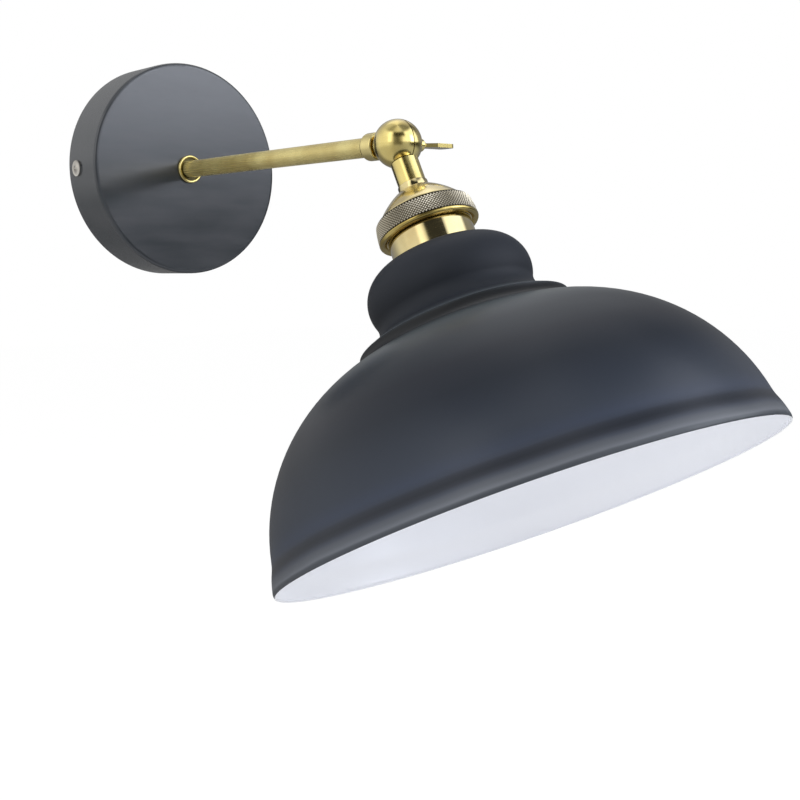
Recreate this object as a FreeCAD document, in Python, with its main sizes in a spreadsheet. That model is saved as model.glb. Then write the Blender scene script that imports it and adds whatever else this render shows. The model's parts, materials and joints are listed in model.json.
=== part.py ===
import FreeCAD, Part
import math
import os
import Sketcher

# A wall light: a round wall plate, a straight arm, a split ball knuckle with
# a thumbscrew, and a lampholder that carries a domed metal shade.
# Millimetres, X to the right, Y into the wall and Z up. The origin is the
# centre of the back of the wall plate. The light is modelled as photographed,
# with the shade tilted outward.

# Lengths in millimetres and angles in degrees, each written once.
SIZES = {
    # Fits and finishing
    "thread_fit": 0.05,
    "slip_fit": 0.1,
    "cut_overrun": 1,
    # Wall plate
    "plate_radius": 60,
    "plate_depth": 30,
    "plate_wall": 1.2,
    "plate_edge_round": 2.2,
    # Bracket behind the wall plate
    "bracket_thickness": 1.5,
    "bracket_width": 22,
    "bracket_side_gap": 0.5,
    "bracket_ear_margin": 5.5,
    "wall_slot_pitch": 60,
    "wall_slot_length": 12,
    "wall_slot_radius": 2.25,
    "cable_hole_radius": 7,
    # Screws at the two sides of the plate
    "side_screw_height": 9.5,
    "side_screw_radius": 2,
    "side_screw_length": 7,
    "side_head_radius": 4.4,
    "side_head_edge": 0.9,
    "side_head_height": 2.5,
    "cross_width": 0.9,
    "cross_length": 4.8,
    "cross_depth": 1.3,
    # Terminal block and earth screw on the bracket
    "block_width": 12,
    "block_height": 20,
    "block_depth": 13,
    "block_offset": 15,
    "pole_pitch": 10,
    "clamp_pitch": 6,
    "clamp_screw_radius": 1.6,
    "clamp_screw_length": 5,
    "clamp_screw_sink": 1,
    "clamp_slot_width": 0.6,
    "clamp_slot_depth": 0.8,
    "wire_bore_radius": 1.3,
    "wire_bore_height": 3.2,
    "earth_offset": 14,
    "earth_screw_radius": 2,
    "earth_head_radius": 3.6,
    "earth_head_height": 2.2,
    # Bush that carries the arm on the plate
    "bush_radius": 8,
    "bush_lip_width": 1.7,
    "bush_lip_height": 2,
    "bush_recess": 1.2,
    "bush_shank_radius": 5,
    "bush_shank_end": 1.3,
    "spigot_length": 6,
    "spigot_wall": 1,
    "washer_radius": 9,
    "washer_thickness": 1,
    "nut_circumradius": 8.1,
    "nut_height": 3,
    # Arm
    "arm_radius": 4.75,
    "arm_wall": 0.9,
    "arm_reach": 211,
    "collar_radius": 6.65,
    "collar_length": 8.4,
    "collar_standoff": 12.8,
    "collar_back_round": 1.9,
    "collar_mouth_round": 0.7,
    "collar_mouth_wall": 0.6,
    "collar_mouth_depth": 1.6,
    "collar_web": 2,
    # Knuckle
    "ball_radius": 11.5,
    "ball_cavity_radius": 6,
    "ball_clearance": 0.4,
    "seam_width": 0.5,
    "friction_thickness": 0.4,
    "friction_inset": 0.8,
    "knuckle_neck_radius": 5.2,
    "stem_radius": 6.65,
    "stem_length": 21.6,
    "stem_bore_radius": 3.3,
    "rest_tilt": 26.4,
    # Thumbscrew
    "pivot_radius": 2,
    "pivot_tip": 9,
    "pivot_blind": 0.5,
    "thumb_seat": 10.9,
    "thumb_seat_radius": 4,
    "thumb_boss_radius": 3.1,
    "thumb_boss_end": 14.6,
    "thumb_neck_radius": 1,
    "thumb_neck_end": 17.6,
    "blade_start": 16.4,
    "blade_tip": 33,
    "blade_thickness": 1.9,
    "blade_width": 9.6,
    "blade_shoulder": 5,
    # Nipple, bead and cap of the lampholder
    "nipple_radius": 5,
    "nipple_bore_radius": 3.2,
    "nipple_engagement": 6.5,
    "bead_radius": 7.2,
    "bead_height": 3.4,
    "bead_flat": 1.7,
    "cap_wall": 0.9,
    "cap_flat_radius": 8.4,
    "cap_radius": 20.6,
    "cap_drop": 11.4,
    "cap_corner_width": 0.8,
    "cap_corner_height": 1.6,
    "cap_skirt_end": 46.5,
    "cap_nut_circumradius": 7.4,
    "cap_nut_height": 3,
    # Knurled ring
    "ring_top": 36.5,
    "ring_top_radius": 22.2,
    "ring_shoulder_radius": 22.9,
    "ring_shoulder_height": 0.5,
    "ring_radius": 24,
    "ring_height": 10.5,
    "ring_groove_depth": 0.4,
    "ring_groove_height": 0.35,
    "ring_lip_height": 1.4,
    "ring_lip_setback": 0.6,
    "ring_underside_width": 1.4,
    "ring_underside_rise": 1.4,
    # Lampholder body, insert and contacts
    "body_radius": 20.1,
    "body_top": 39.6,
    "body_neck_gap": 0.3,
    "body_end": 84,
    "body_bore_radius": 17.3,
    "body_ledge_width": 1.2,
    "body_end_chamfer": 0.8,
    "seat_shoulder": 1,
    "insert_top": 52,
    "insert_floor": 60,
    "insert_end": 82,
    "shell_outer_radius": 14.6,
    "lamp_bore_radius": 13.4,
    "shell_foot": 3.5,
    "shell_foot_radius": 14,
    "shell_length": 17.5,
    "contact_radius": 4,
    "contact_thickness": 1,
    "contact_rise": 1.5,
    "rivet_radius": 1.9,
    "rivet_stand": 3,
    "contact_screw_offset": 9,
    "contact_screw_radius": 1.6,
    "contact_screw_length": 5,
    "contact_head_radius": 2.9,
    "contact_head_height": 2.4,
    # Shade and its ring
    "shade_seat": 58.5,
    "shade_wall": 0.9,
    "shade_hole_gap": 0.2,
    "crown_flat": 2.4,
    "bulge_round": 17,
    "waist_round": 7.6,
    "flare_length": 5.1,
    "step_width": 7.4,
    "step_drop": 7.4,
    "shade_rim_radius": 116.2,
    "shade_depth": 125.7,
    "band_inset": 3.3,
    "band_height": 14.7,
    "groove_width": 1,
    "groove_height": 4.1,
    "rim_lip_height": 1.8,
    "rim_lip_inset": 0.3,
    "rim_bead_radius": 1,
    "shade_ring_radius": 24.5,
    "shade_ring_bevel": 0.8,
    "shade_ring_flange": 2,
    "shade_ring_hub_radius": 22,
    "shade_ring_height": 6,
}

# How far each arc of an outline bows, as its rise over half its chord.
QUARTER_SHARE = math.tan(math.pi / 8)
LIP_ROUND_SHARE = 0.9
BEAD_BOW_SHARE = 0.53
HEAD_BOW_SHARE = 0.30
CAP_BOW_SHARE = 0.09
CAP_CORNER_SHARE = 0.15
RING_BOW_SHARE = 0.05
BULGE_BOW_SHARE = 0.528
WAIST_BOW_SHARE = 0.371
STEP_BOW_SHARE = 0.132
DOME_BOW_SHARE = 0.292
GROOVE_BOW_SHARE = 0.043
BAND_BOW_SHARE = 0.056
LIP_BOW_SHARE = 0.12

# Where the bulge and the waist of the shade end, in shares of their rounds,
# and how the flare below the waist runs, in shares of its length.
BULGE_END_SHARES = (0.931, 1.365)
WAIST_END_SHARES = (0.431, 1.231)
FLARE_SHARES = (0.866, 0.5)


class Size:
    """A number with the sheet formula that gives it."""

    def __init__(self, value, text):
        self.value = value
        self.text = text

    def __add__(self, other):
        other = as_size(other)
        return Size(self.value + other.value, f"({self.text} + {other.text})")

    def __sub__(self, other):
        other = as_size(other)
        return Size(self.value - other.value, f"({self.text} - {other.text})")

    def __mul__(self, other):
        other = as_size(other)
        return Size(self.value * other.value, f"({self.text} * {other.text})")

    def __truediv__(self, other):
        other = as_size(other)
        return Size(self.value / other.value, f"({self.text} / {other.text})")

    def __neg__(self):
        return Size(-self.value, f"(0 - {self.text})")


def as_size(value):
    if isinstance(value, Size):
        return value
    return Size(value, f"{value:.9g}")


def root(size):
    return Size(math.sqrt(size.value), f"sqrt({size.text})")


def fill_sheet():
    sheet = doc.addObject("Spreadsheet::Sheet", "sizes")
    for row, (name, value) in enumerate(SIZES.items(), start=1):
        sheet.set(f"A{row}", name)
        sheet.set(f"B{row}", str(value))
        sheet.setAlias(f"B{row}", name)
    doc.recompute()
    return sheet


def size(name):
    return Size(float(sheet.get(name)), f"sizes.{name}")


def bind(thing, prop, value):
    thing.setExpression(prop, as_size(value).text)


# Solids from Part primitives

SPIN = {
    "z": FreeCAD.Rotation(),
    "x": FreeCAD.Rotation(FreeCAD.Vector(0, 1, 0), 90),
}


def set_base(thing, base):
    for axis, value in zip("xyz", base):
        bind(thing, f"Placement.Base.{axis}", value)


def cylinder(name, radius, length, base=(0, 0, 0), along="z"):
    thing = doc.addObject("Part::Cylinder", name)
    thing.Placement = FreeCAD.Placement(FreeCAD.Vector(), SPIN[along])
    bind(thing, "Radius", radius)
    bind(thing, "Height", length)
    set_base(thing, base)
    return thing


def box(name, lengths, corner):
    thing = doc.addObject("Part::Box", name)
    for prop, value in zip(("Length", "Width", "Height"), lengths):
        bind(thing, prop, value)
    set_base(thing, corner)
    return thing


def sphere(name, radius):
    thing = doc.addObject("Part::Sphere", name)
    bind(thing, "Radius", radius)
    return thing


def hexagon(name, circumradius, height, base):
    thing = doc.addObject("Part::Prism", name)
    thing.Polygon = 6
    bind(thing, "Circumradius", circumradius)
    bind(thing, "Height", height)
    set_base(thing, base)
    return thing


def torus(name, ring_radius, wire_radius, height):
    thing = doc.addObject("Part::Torus", name)
    bind(thing, "Radius1", ring_radius)
    bind(thing, "Radius2", wire_radius)
    set_base(thing, (0, 0, height))
    return thing


def fuse(name, shapes):
    thing = doc.addObject("Part::MultiFuse", name)
    thing.Shapes = shapes
    return thing


def common(name, first, second):
    thing = doc.addObject("Part::Common", name)
    thing.Base = first
    thing.Tool = second
    return thing


def cut(name, base, tools):
    thing = doc.addObject("Part::Cut", name)
    thing.Base = base
    thing.Tool = tools[0] if len(tools) == 1 else fuse(name + "_cuts", tools)
    return thing


# Outlines in sketches

def bowed_arc(start, end, bow):
    middle = FreeCAD.Vector(
        (start.x + end.x + (end.y - start.y) * bow) / 2,
        (start.y + end.y - (end.x - start.x) * bow) / 2,
        0,
    )
    return Part.Arc(start, middle, end)


def pin_point(sketch, geometry, end, point):
    """Ties one end of an edge to the sketch axes by the sizes of its point."""
    for kind, axis, value in (("DistanceX", -2, point[0]), ("DistanceY", -1, point[1])):
        value = as_size(value)
        if value.value == 0:
            sketch.addConstraint(Sketcher.Constraint("PointOnObject", geometry, end, axis))
            continue
        index = sketch.addConstraint(Sketcher.Constraint(kind, -1, 1, geometry, end, value.value))
        sketch.setExpression(f"Constraints[{index}]", value.text)


def pin_radius(sketch, geometry, start, end, bow):
    across = as_size(end[0]) - start[0]
    along = as_size(end[1]) - start[1]
    chord = root(across * across + along * along)
    radius = chord * ((1 + bow * bow) / (4 * abs(bow)))
    index = sketch.addConstraint(Sketcher.Constraint("Radius", geometry, radius.value))
    sketch.setExpression(f"Constraints[{index}]", radius.text)


def ends_of(sketch, geometry, start):
    if (sketch.getPoint(geometry, 1) - start).Length < (sketch.getPoint(geometry, 2) - start).Length:
        return 1, 2
    return 2, 1


def draw(sketch, outline, closed):
    """Draws an outline of (across, along) points; a third item bows the edge that ends there."""
    points = list(outline)
    if closed:
        points.append(outline[0])
    spots = [FreeCAD.Vector(as_size(p[0]).value, as_size(p[1]).value, 0) for p in points]
    edges = []
    for number in range(1, len(points)):
        bow = points[number][2] if len(points[number]) == 3 else 0
        start, end = spots[number - 1], spots[number]
        shape = bowed_arc(start, end, bow) if bow else Part.LineSegment(start, end)
        geometry = sketch.addGeometry(shape)
        edges.append((geometry,) + ends_of(sketch, geometry, start))
    for (first, _, leaving), (second, entering, _) in zip(edges, edges[1:]):
        sketch.addConstraint(Sketcher.Constraint("Coincident", first, leaving, second, entering))
    if closed:
        sketch.addConstraint(
            Sketcher.Constraint("Coincident", edges[-1][0], edges[-1][2], edges[0][0], edges[0][1]))
    pin_outline(sketch, points, edges, closed)


def pin_outline(sketch, points, edges, closed):
    for number, (geometry, entering, leaving) in enumerate(edges, start=1):
        pin_point(sketch, geometry, entering, points[number - 1])
        if len(points[number]) == 3:
            pin_radius(sketch, geometry, points[number - 1], points[number], points[number][2])
    if not closed:
        pin_point(sketch, edges[-1][0], edges[-1][2], points[-1])


def origin_plane(body, role):
    return next(plane for plane in body.Origin.OriginFeatures if plane.Role == role)


def body_sketch(body, name, role):
    sketch = body.newObject("Sketcher::SketchObject", name)
    sketch.AttachmentSupport = [(origin_plane(body, role), "")]
    sketch.MapMode = "FlatFace"
    return sketch


def turned(name, outline):
    """A turned piece: a closed outline of (radius, height) spun about Z."""
    body = doc.addObject("PartDesign::Body", name)
    sketch = body_sketch(body, name + "_outline", "XZ_Plane")
    draw(sketch, outline, closed=True)
    doc.recompute()
    spin = body.newObject("PartDesign::Revolution", name + "_turn")
    spin.Profile = sketch
    spin.ReferenceAxis = (sketch, ["V_Axis"])
    spin.Angle = 360
    sketch.Visibility = False
    doc.recompute()
    return body


def spun_sheet(name, outline, wall):
    """Spun sheet metal: an open outline of (radius, height) given a wall on its inner side."""
    sketch = doc.addObject("Sketcher::SketchObject", name + "_outline")
    sketch.Placement = FreeCAD.Placement(
        FreeCAD.Vector(), FreeCAD.Rotation(FreeCAD.Vector(1, 0, 0), 90))
    draw(sketch, outline, closed=False)
    band = doc.addObject("Part::Offset2D", name + "_band")
    band.Source = sketch
    band.Mode = "Skin"
    band.Join = "Arc"
    band.Fill = True
    bind(band, "Value", wall)
    spin = doc.addObject("Part::Revolution", name + "_turn")
    spin.Source = band
    spin.Axis = (0, 0, 1)
    spin.Base = (0, 0, 0)
    spin.Angle = 360
    spin.Solid = True
    return spin


def slab(name, outline, thickness, role="YZ_Plane"):
    """A flat piece: a closed outline padded evenly to both sides of its plane."""
    body = doc.addObject("PartDesign::Body", name)
    sketch = body_sketch(body, name + "_outline", role)
    draw(sketch, outline, closed=True)
    doc.recompute()
    pad = body.newObject("PartDesign::Pad", name + "_pad")
    pad.Profile = sketch
    pad.Midplane = True
    bind(pad, "Length", thickness)
    sketch.Visibility = False
    doc.recompute()
    return body


# Sub-parts and their places

nodes = []


def sub_part(label, thing, axis=(1, 0, 0), angle=0, base=(0, 0, 0)):
    """Names a finished piece and sets it in the light's own frame."""
    thing.Label = label
    thing.Placement = FreeCAD.Placement(
        FreeCAD.Vector(), FreeCAD.Rotation(FreeCAD.Vector(*axis), as_size(angle).value))
    if isinstance(angle, Size):
        bind(thing, "Placement.Rotation.Angle", angle)
    set_base(thing, base)
    nodes.append(thing)


def on_wall(label, thing):
    """Places a piece drawn with Z as the distance from the wall and Y up."""
    sub_part(label, thing, angle=90)


def on_head(label, thing):
    """Places a piece drawn with Z as the distance from the ball along the shade's axis."""
    sub_part(label, thing, angle=as_size(180) - size("rest_tilt"), base=(0, -size("arm_reach"), 0))


# Wall plate and what is behind it

def wall_plate():
    edge = size("plate_edge_round")
    rim = size("plate_radius")
    front = size("plate_depth")
    shell = spun_sheet("plate_shell", [
        (size("bush_shank_radius") + size("slip_fit"), front),
        (rim - edge, front),
        (rim, front - edge, -QUARTER_SHARE),
        (rim, 0),
    ], -size("plate_wall"))
    reach = rim + size("cut_overrun")
    hole = cylinder(
        "plate_screw_hole", size("side_screw_radius") + size("slip_fit"), reach * 2,
        (-reach, 0, size("side_screw_height")), "x")
    on_wall("wall_plate", cut("plate", shell, [hole]))


def ear_face():
    """Distance from the centre to the outer face of a bracket ear, inside the plate's round rim."""
    inside = size("plate_radius") - size("plate_wall") - size("bracket_side_gap")
    half_width = size("bracket_width") / 2
    return root(inside * inside - half_width * half_width)


def wall_slot(name, centre):
    radius = size("wall_slot_radius")
    run = size("wall_slot_length") - radius * 2
    over = size("cut_overrun")
    depth = size("bracket_thickness") + over * 2
    middle = box(name + "_middle", (run, radius * 2, depth), (centre - run / 2, -radius, -over))
    ends = [
        cylinder(f"{name}_end_{number}", radius, depth, (centre + run * side / 2, 0, -over))
        for number, side in enumerate((-1, 1), start=1)
    ]
    return fuse(name, [middle] + ends)


def mounting_bracket():
    thickness = size("bracket_thickness")
    width = size("bracket_width")
    face = ear_face()
    ear_height = size("side_screw_height") + size("bracket_ear_margin")
    strap = box("bracket_strap", (face * 2, width, thickness), (-face, -width / 2, 0))
    left_ear = box("bracket_left_ear", (thickness, width, ear_height), (-face, -width / 2, 0))
    right_ear = box(
        "bracket_right_ear", (thickness, width, ear_height), (face - thickness, -width / 2, 0))
    over = size("cut_overrun")
    through = thickness + over * 2
    cuts = [
        cylinder("bracket_cable_hole", size("cable_hole_radius"), through, (0, 0, -over)),
        cylinder("bracket_earth_hole", size("earth_screw_radius") + size("thread_fit"), through,
                 (size("earth_offset"), 0, -over)),
        cylinder("bracket_ear_holes", size("side_screw_radius") + size("thread_fit"),
                 (face + over) * 2, (-face - over, 0, size("side_screw_height")), "x"),
        wall_slot("wall_slot_left", -size("wall_slot_pitch") / 2),
        wall_slot("wall_slot_right", size("wall_slot_pitch") / 2),
    ]
    solid = fuse("bracket_solid", [strap, left_ear, right_ear])
    on_wall("mounting_bracket", cut("bracket", solid, cuts))


def pan_head_screw(name, radius, length, head_radius, head_edge, head_height):
    """A pan head screw drawn from its tip up, with a cross recess in its head."""
    screw = turned(name + "_turning", [
        (0, 0),
        (radius, 0),
        (radius, length),
        (head_radius, length),
        (head_radius, length + head_edge),
        (0, length + head_height, -HEAD_BOW_SHARE),
    ])
    width = size("cross_width")
    span = size("cross_length")
    top = length + head_height - size("cross_depth")
    height = size("cross_depth") + size("cut_overrun")
    bars = [
        box(name + "_cross_across", (span, width, height), (-span / 2, -width / 2, top)),
        box(name + "_cross_along", (width, span, height), (-width / 2, -span / 2, top)),
    ]
    return cut(name, screw, bars)


def side_screws():
    for side, sign in (("left", -1), ("right", 1)):
        screw = pan_head_screw(
            f"side_screw_{side}_solid", size("side_screw_radius"), size("side_screw_length"),
            size("side_head_radius"), size("side_head_edge"), size("side_head_height"))
        tip = (size("plate_radius") - size("side_screw_length")) * sign
        sub_part(f"side_screw_{side}", screw, axis=(0, 1, 0), angle=90 * sign,
                 base=(tip, -size("side_screw_height"), 0))


def clamp_places():
    """Centres of the four clamping screws, across and up from the plate's centre."""
    for row in (-1, 1):
        for column in (-1, 1):
            yield (-size("block_offset") + size("clamp_pitch") * column / 2,
                   size("pole_pitch") * row / 2)


def terminal_block():
    width = size("block_width")
    height = size("block_height")
    back = size("bracket_thickness")
    front = back + size("block_depth")
    over = size("cut_overrun")
    block = box("terminal_block_solid", (width, height, size("block_depth")),
                (-size("block_offset") - width / 2, -height / 2, back))
    well = size("clamp_screw_length") + size("clamp_screw_sink")
    cuts = [
        cylinder(f"clamp_well_{number}", size("clamp_screw_radius") + size("thread_fit"),
                 well + over, (across, up, front - well))
        for number, (across, up) in enumerate(clamp_places(), start=1)
    ]
    cuts += [
        cylinder(f"wire_bore_{number}", size("wire_bore_radius"), width + over * 2,
                 (-size("block_offset") - width / 2 - over, size("pole_pitch") * row / 2,
                  back + size("wire_bore_height")), "x")
        for number, row in enumerate((-1, 1), start=1)
    ]
    on_wall("terminal_block", cut("terminal_block_cut", block, cuts))


def terminal_screws():
    radius = size("clamp_screw_radius")
    front = size("bracket_thickness") + size("block_depth")
    top = front - size("clamp_screw_sink")
    base = top - size("clamp_screw_length")
    slot_width = size("clamp_slot_width")
    for number, (across, up) in enumerate(clamp_places(), start=1):
        shank = cylinder(f"clamp_screw_{number}", radius, size("clamp_screw_length"), (across, up, base))
        slot = box(f"clamp_screw_{number}_slot",
                   (radius * 2, slot_width, size("clamp_slot_depth") + size("cut_overrun")),
                   (across - radius, up - slot_width / 2, top - size("clamp_slot_depth")))
        on_wall(f"terminal_screw_{number}", cut(f"clamp_screw_{number}_cut", shank, [slot]))


def earth_screw():
    screw = pan_head_screw(
        "earth_screw_solid", size("earth_screw_radius"), size("bracket_thickness"),
        size("earth_head_radius"), size("earth_head_height") / 2, size("earth_head_height"))
    sub_part("earth_screw", screw, angle=90, base=(size("earth_offset"), 0, 0))


# Arm and its fixing

def spigot_radius():
    return size("arm_radius") - size("arm_wall") - size("thread_fit")


def cable_radius():
    return spigot_radius() - size("spigot_wall")


def plate_bush():
    front = size("plate_depth")
    inside = front - size("plate_wall")
    tail = inside - size("washer_thickness") - size("nut_height") - size("bush_shank_end")
    floor = front + size("bush_lip_height") - size("bush_recess")
    lip_inside = size("bush_radius") - size("bush_lip_width")
    lip_edge = front + size("bush_lip_height") - size("bush_lip_width") / 2
    on_wall("plate_bush", turned("bush", [
        (cable_radius(), tail),
        (size("bush_shank_radius"), tail),
        (size("bush_shank_radius"), front),
        (size("bush_radius"), front),
        (size("bush_radius"), lip_edge),
        (lip_inside, lip_edge, LIP_ROUND_SHARE),
        (lip_inside, floor),
        (spigot_radius(), floor),
        (spigot_radius(), floor + size("spigot_length")),
        (cable_radius(), floor + size("spigot_length")),
    ]))


def bush_washer():
    top = size("plate_depth") - size("plate_wall")
    bottom = top - size("washer_thickness")
    hole = size("bush_shank_radius") + size("slip_fit")
    on_wall("bush_washer", turned("washer", [
        (hole, bottom),
        (size("washer_radius"), bottom),
        (size("washer_radius"), top),
        (hole, top),
    ]))


def bored_nut(name, circumradius, height, start, thread_radius):
    nut = hexagon(name + "_hexagon", circumradius, height, (0, 0, start))
    over = size("cut_overrun")
    bore = cylinder(name + "_bore", thread_radius + size("thread_fit"), height + over * 2,
                    (0, 0, start - over))
    return cut(name, nut, [bore])


def bush_nut():
    start = size("plate_depth") - size("plate_wall") - size("washer_thickness") - size("nut_height")
    on_wall("bush_nut", bored_nut(
        "nut", size("nut_circumradius"), size("nut_height"), start, size("bush_shank_radius")))


def collar_mouth():
    return size("arm_reach") - size("collar_standoff")


def collar_floor():
    return collar_mouth() - size("collar_mouth_depth")


def arm_tube():
    start = size("plate_depth") + size("bush_lip_height") - size("bush_recess")
    end = collar_floor() - size("collar_web")
    inside = size("arm_radius") - size("arm_wall")
    on_wall("arm_tube", turned("tube", [
        (inside, start),
        (size("arm_radius"), start),
        (size("arm_radius"), end),
        (inside, end),
    ]))


def arm_collar():
    mouth = collar_mouth()
    back = mouth - size("collar_length")
    outside = size("collar_radius")
    back_round = size("collar_back_round")
    mouth_round = size("collar_mouth_round")
    web_bore = spigot_radius() + size("thread_fit")
    tube_bore = size("arm_radius") + size("thread_fit")
    tube_end = collar_floor() - size("collar_web")
    mouth_bore = outside - size("collar_mouth_wall")
    on_wall("arm_collar", turned("collar", [
        (tube_bore, back + back_round),
        (outside - back_round, back),
        (outside, back + back_round, QUARTER_SHARE),
        (outside, mouth - mouth_round),
        (mouth_bore, mouth, QUARTER_SHARE / 2),
        (mouth_bore, collar_floor()),
        (web_bore, collar_floor()),
        (web_bore, tube_end),
        (tube_bore, tube_end),
    ]))


# Knuckle

def half_space(name, side, radius, inset):
    """A box on one side of the seam, from a distance off the middle out past a radius."""
    reach = radius + size("cut_overrun")
    corner = inset if side > 0 else -reach
    return box(name, (reach - inset, reach * 2, reach * 2), (corner, -reach, -reach))


def half_ball(name, side):
    seam = size("seam_width") / 2
    radius = size("ball_radius")
    return common(name, sphere(name + "_ball", radius), half_space(name + "_side", side, radius, seam))


def swept_clearance(name, side):
    """The room that a neck leaves for the other half's ball."""
    room = size("ball_radius") + size("ball_clearance")
    seam = size("seam_width") / 2
    return common(name, sphere(name + "_ball", room), half_space(name + "_side", side, room, -seam))


def knuckle_arm_half():
    """Half of the ball on the left, one piece with the neck that enters the arm."""
    neck_end = size("collar_standoff") + size("collar_mouth_depth")
    spigot_end = neck_end + size("collar_web") + size("spigot_length")
    ball = half_ball("arm_ball", -1)
    cavity = size("ball_cavity_radius")
    neck = cylinder("arm_neck", size("knuckle_neck_radius"), neck_end - cavity, (0, 0, -neck_end))
    spigot = cylinder("arm_spigot", spigot_radius(), spigot_end - cavity, (0, 0, -spigot_end))
    shaft = cut("arm_shaft", fuse("arm_shaft_solid", [neck, spigot]), [swept_clearance("arm_room", 1)])
    over = size("cut_overrun")
    pivot_end = size("pivot_tip") + size("pivot_blind")
    cuts = [
        sphere("arm_cavity", cavity),
        cylinder("arm_cable_bore", cable_radius(), spigot_end + over - cavity / 2,
                 (0, 0, -spigot_end - over)),
        cylinder("arm_pivot_bore", size("pivot_radius") + size("thread_fit"), pivot_end,
                 (-pivot_end, 0, 0), "x"),
    ]
    half = cut("arm_half", fuse("arm_half_solid", [ball, shaft]), cuts)
    sub_part("knuckle_arm_half", half, angle=90, base=(0, -size("arm_reach"), 0))


def friction_washer():
    inside = size("ball_cavity_radius") + size("friction_inset")
    outside = size("ball_radius") - size("friction_inset")
    thickness = size("friction_thickness")
    ring = turned("friction_ring", [
        (inside, 0),
        (outside, 0),
        (outside, thickness),
        (inside, thickness),
    ])
    sub_part("friction_washer", ring, axis=(0, 1, 0), angle=90,
             base=(-size("seam_width") / 2, -size("arm_reach"), 0))


def knuckle_stem_half():
    """Half of the ball on the right, one piece with the stem of the lampholder."""
    length = size("stem_length")
    cavity = size("ball_cavity_radius")
    radius = size("ball_radius")
    over = size("cut_overrun")
    ball = half_ball("stem_ball", 1)
    stem = cylinder("stem_post", size("stem_radius"), length - cavity, (0, 0, cavity))
    post = cut("stem_shaft", stem, [swept_clearance("stem_room", -1)])
    thread = size("nipple_engagement") + size("slip_fit")
    cuts = [
        sphere("stem_cavity", cavity),
        cylinder("stem_cable_bore", size("stem_bore_radius"), length - cavity / 2, (0, 0, cavity / 2)),
        cylinder("stem_thread_bore", size("nipple_radius") + size("thread_fit"), thread + over,
                 (0, 0, length - thread)),
        cylinder("stem_pivot_bore", size("pivot_radius") + size("thread_fit"), radius + over,
                 (0, 0, 0), "x"),
        cylinder("stem_thumb_seat", size("thumb_seat_radius"), radius,
                 (size("thumb_seat"), 0, 0), "x"),
    ]
    on_head("knuckle_stem_half", cut("stem_half", fuse("stem_half_solid", [ball, post]), cuts))


def thumbscrew():
    """The pivot screw of the knuckle, with a flat blade to turn it by."""
    tip = size("pivot_tip")
    seat = size("thumb_seat") + size("slip_fit")
    turning = turned("thumb_turning", [
        (0, 0),
        (size("pivot_radius"), 0),
        (size("pivot_radius"), tip + seat),
        (size("thumb_boss_radius"), tip + seat),
        (size("thumb_boss_radius"), tip + size("thumb_boss_end")),
        (size("thumb_neck_radius"), tip + size("thumb_neck_end")),
        (0, tip + size("thumb_neck_end")),
    ])
    start = tip + size("blade_start")
    end = tip + size("blade_tip")
    half = size("blade_width") / 2
    shoulder = size("blade_shoulder")
    corner = half / 2
    blade = slab("thumb_blade", [
        (-size("thumb_neck_radius"), start),
        (size("thumb_neck_radius"), start),
        (half, start + shoulder),
        (half, end - corner),
        (half - corner, end, QUARTER_SHARE),
        (corner - half, end),
        (-half, end - corner, QUARTER_SHARE),
        (-half, start + shoulder),
    ], size("blade_thickness"))
    sub_part("thumbscrew", fuse("thumb_solid", [turning, blade]), axis=(0, 1, 0), angle=90,
             base=(-tip, -size("arm_reach"), 0))


# Lampholder

def cap_top():
    return size("stem_length") + size("bead_height")


def stem_nipple():
    start = size("stem_length") - size("nipple_engagement")
    end = cap_top() + size("cap_wall") + size("cap_nut_height") + size("cut_overrun")
    on_head("stem_nipple", turned("nipple", [
        (size("nipple_bore_radius"), start),
        (size("nipple_radius"), start),
        (size("nipple_radius"), end),
        (size("nipple_bore_radius"), end),
    ]))


def neck_bead():
    start = size("stem_length")
    end = cap_top()
    hole = size("nipple_radius") + size("thread_fit")
    edge = size("bead_radius") - size("bead_flat") * BEAD_BOW_SHARE
    on_head("neck_bead", turned("bead", [
        (hole, start),
        (edge, start),
        (edge, end, BEAD_BOW_SHARE),
        (hole, end),
    ]))


def lampholder_cap():
    top = cap_top()
    skirt = size("cap_radius")
    corner = top + size("cap_drop")
    on_head("lampholder_cap", spun_sheet("cap", [
        (size("nipple_radius") + size("slip_fit"), top),
        (size("cap_flat_radius"), top),
        (skirt - size("cap_corner_width"), corner - size("cap_corner_height"), CAP_BOW_SHARE),
        (skirt, corner, CAP_CORNER_SHARE),
        (skirt, size("cap_skirt_end")),
    ], size("cap_wall")))


def cap_nut():
    on_head("cap_nut", bored_nut(
        "cap_nut_solid", size("cap_nut_circumradius"), size("cap_nut_height"),
        cap_top() + size("cap_wall"), size("nipple_radius")))


def knurled_ring():
    top = size("ring_top")
    bottom = top + size("ring_height")
    inside = size("cap_radius") + size("thread_fit")
    outside = size("ring_radius")
    band_end = bottom - size("ring_lip_height")
    lip_end = outside - size("ring_lip_setback")
    on_head("knurled_ring", turned("ring", [
        (inside, top),
        (size("ring_top_radius"), top),
        (size("ring_shoulder_radius"), top + size("ring_shoulder_height"), QUARTER_SHARE / 2),
        (outside, band_end - size("ring_groove_height"), RING_BOW_SHARE),
        (outside - size("ring_groove_depth"), band_end - size("ring_groove_height")),
        (outside - size("ring_groove_depth"), band_end),
        (outside, band_end),
        (lip_end, bottom, QUARTER_SHARE / 2),
        (lip_end - size("ring_underside_width"), bottom),
        (inside, bottom - size("ring_underside_rise")),
    ]))


def thread_radius():
    """Outside of the lampholder where the shade and its ring go on."""
    return size("body_radius") - size("seat_shoulder")


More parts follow.
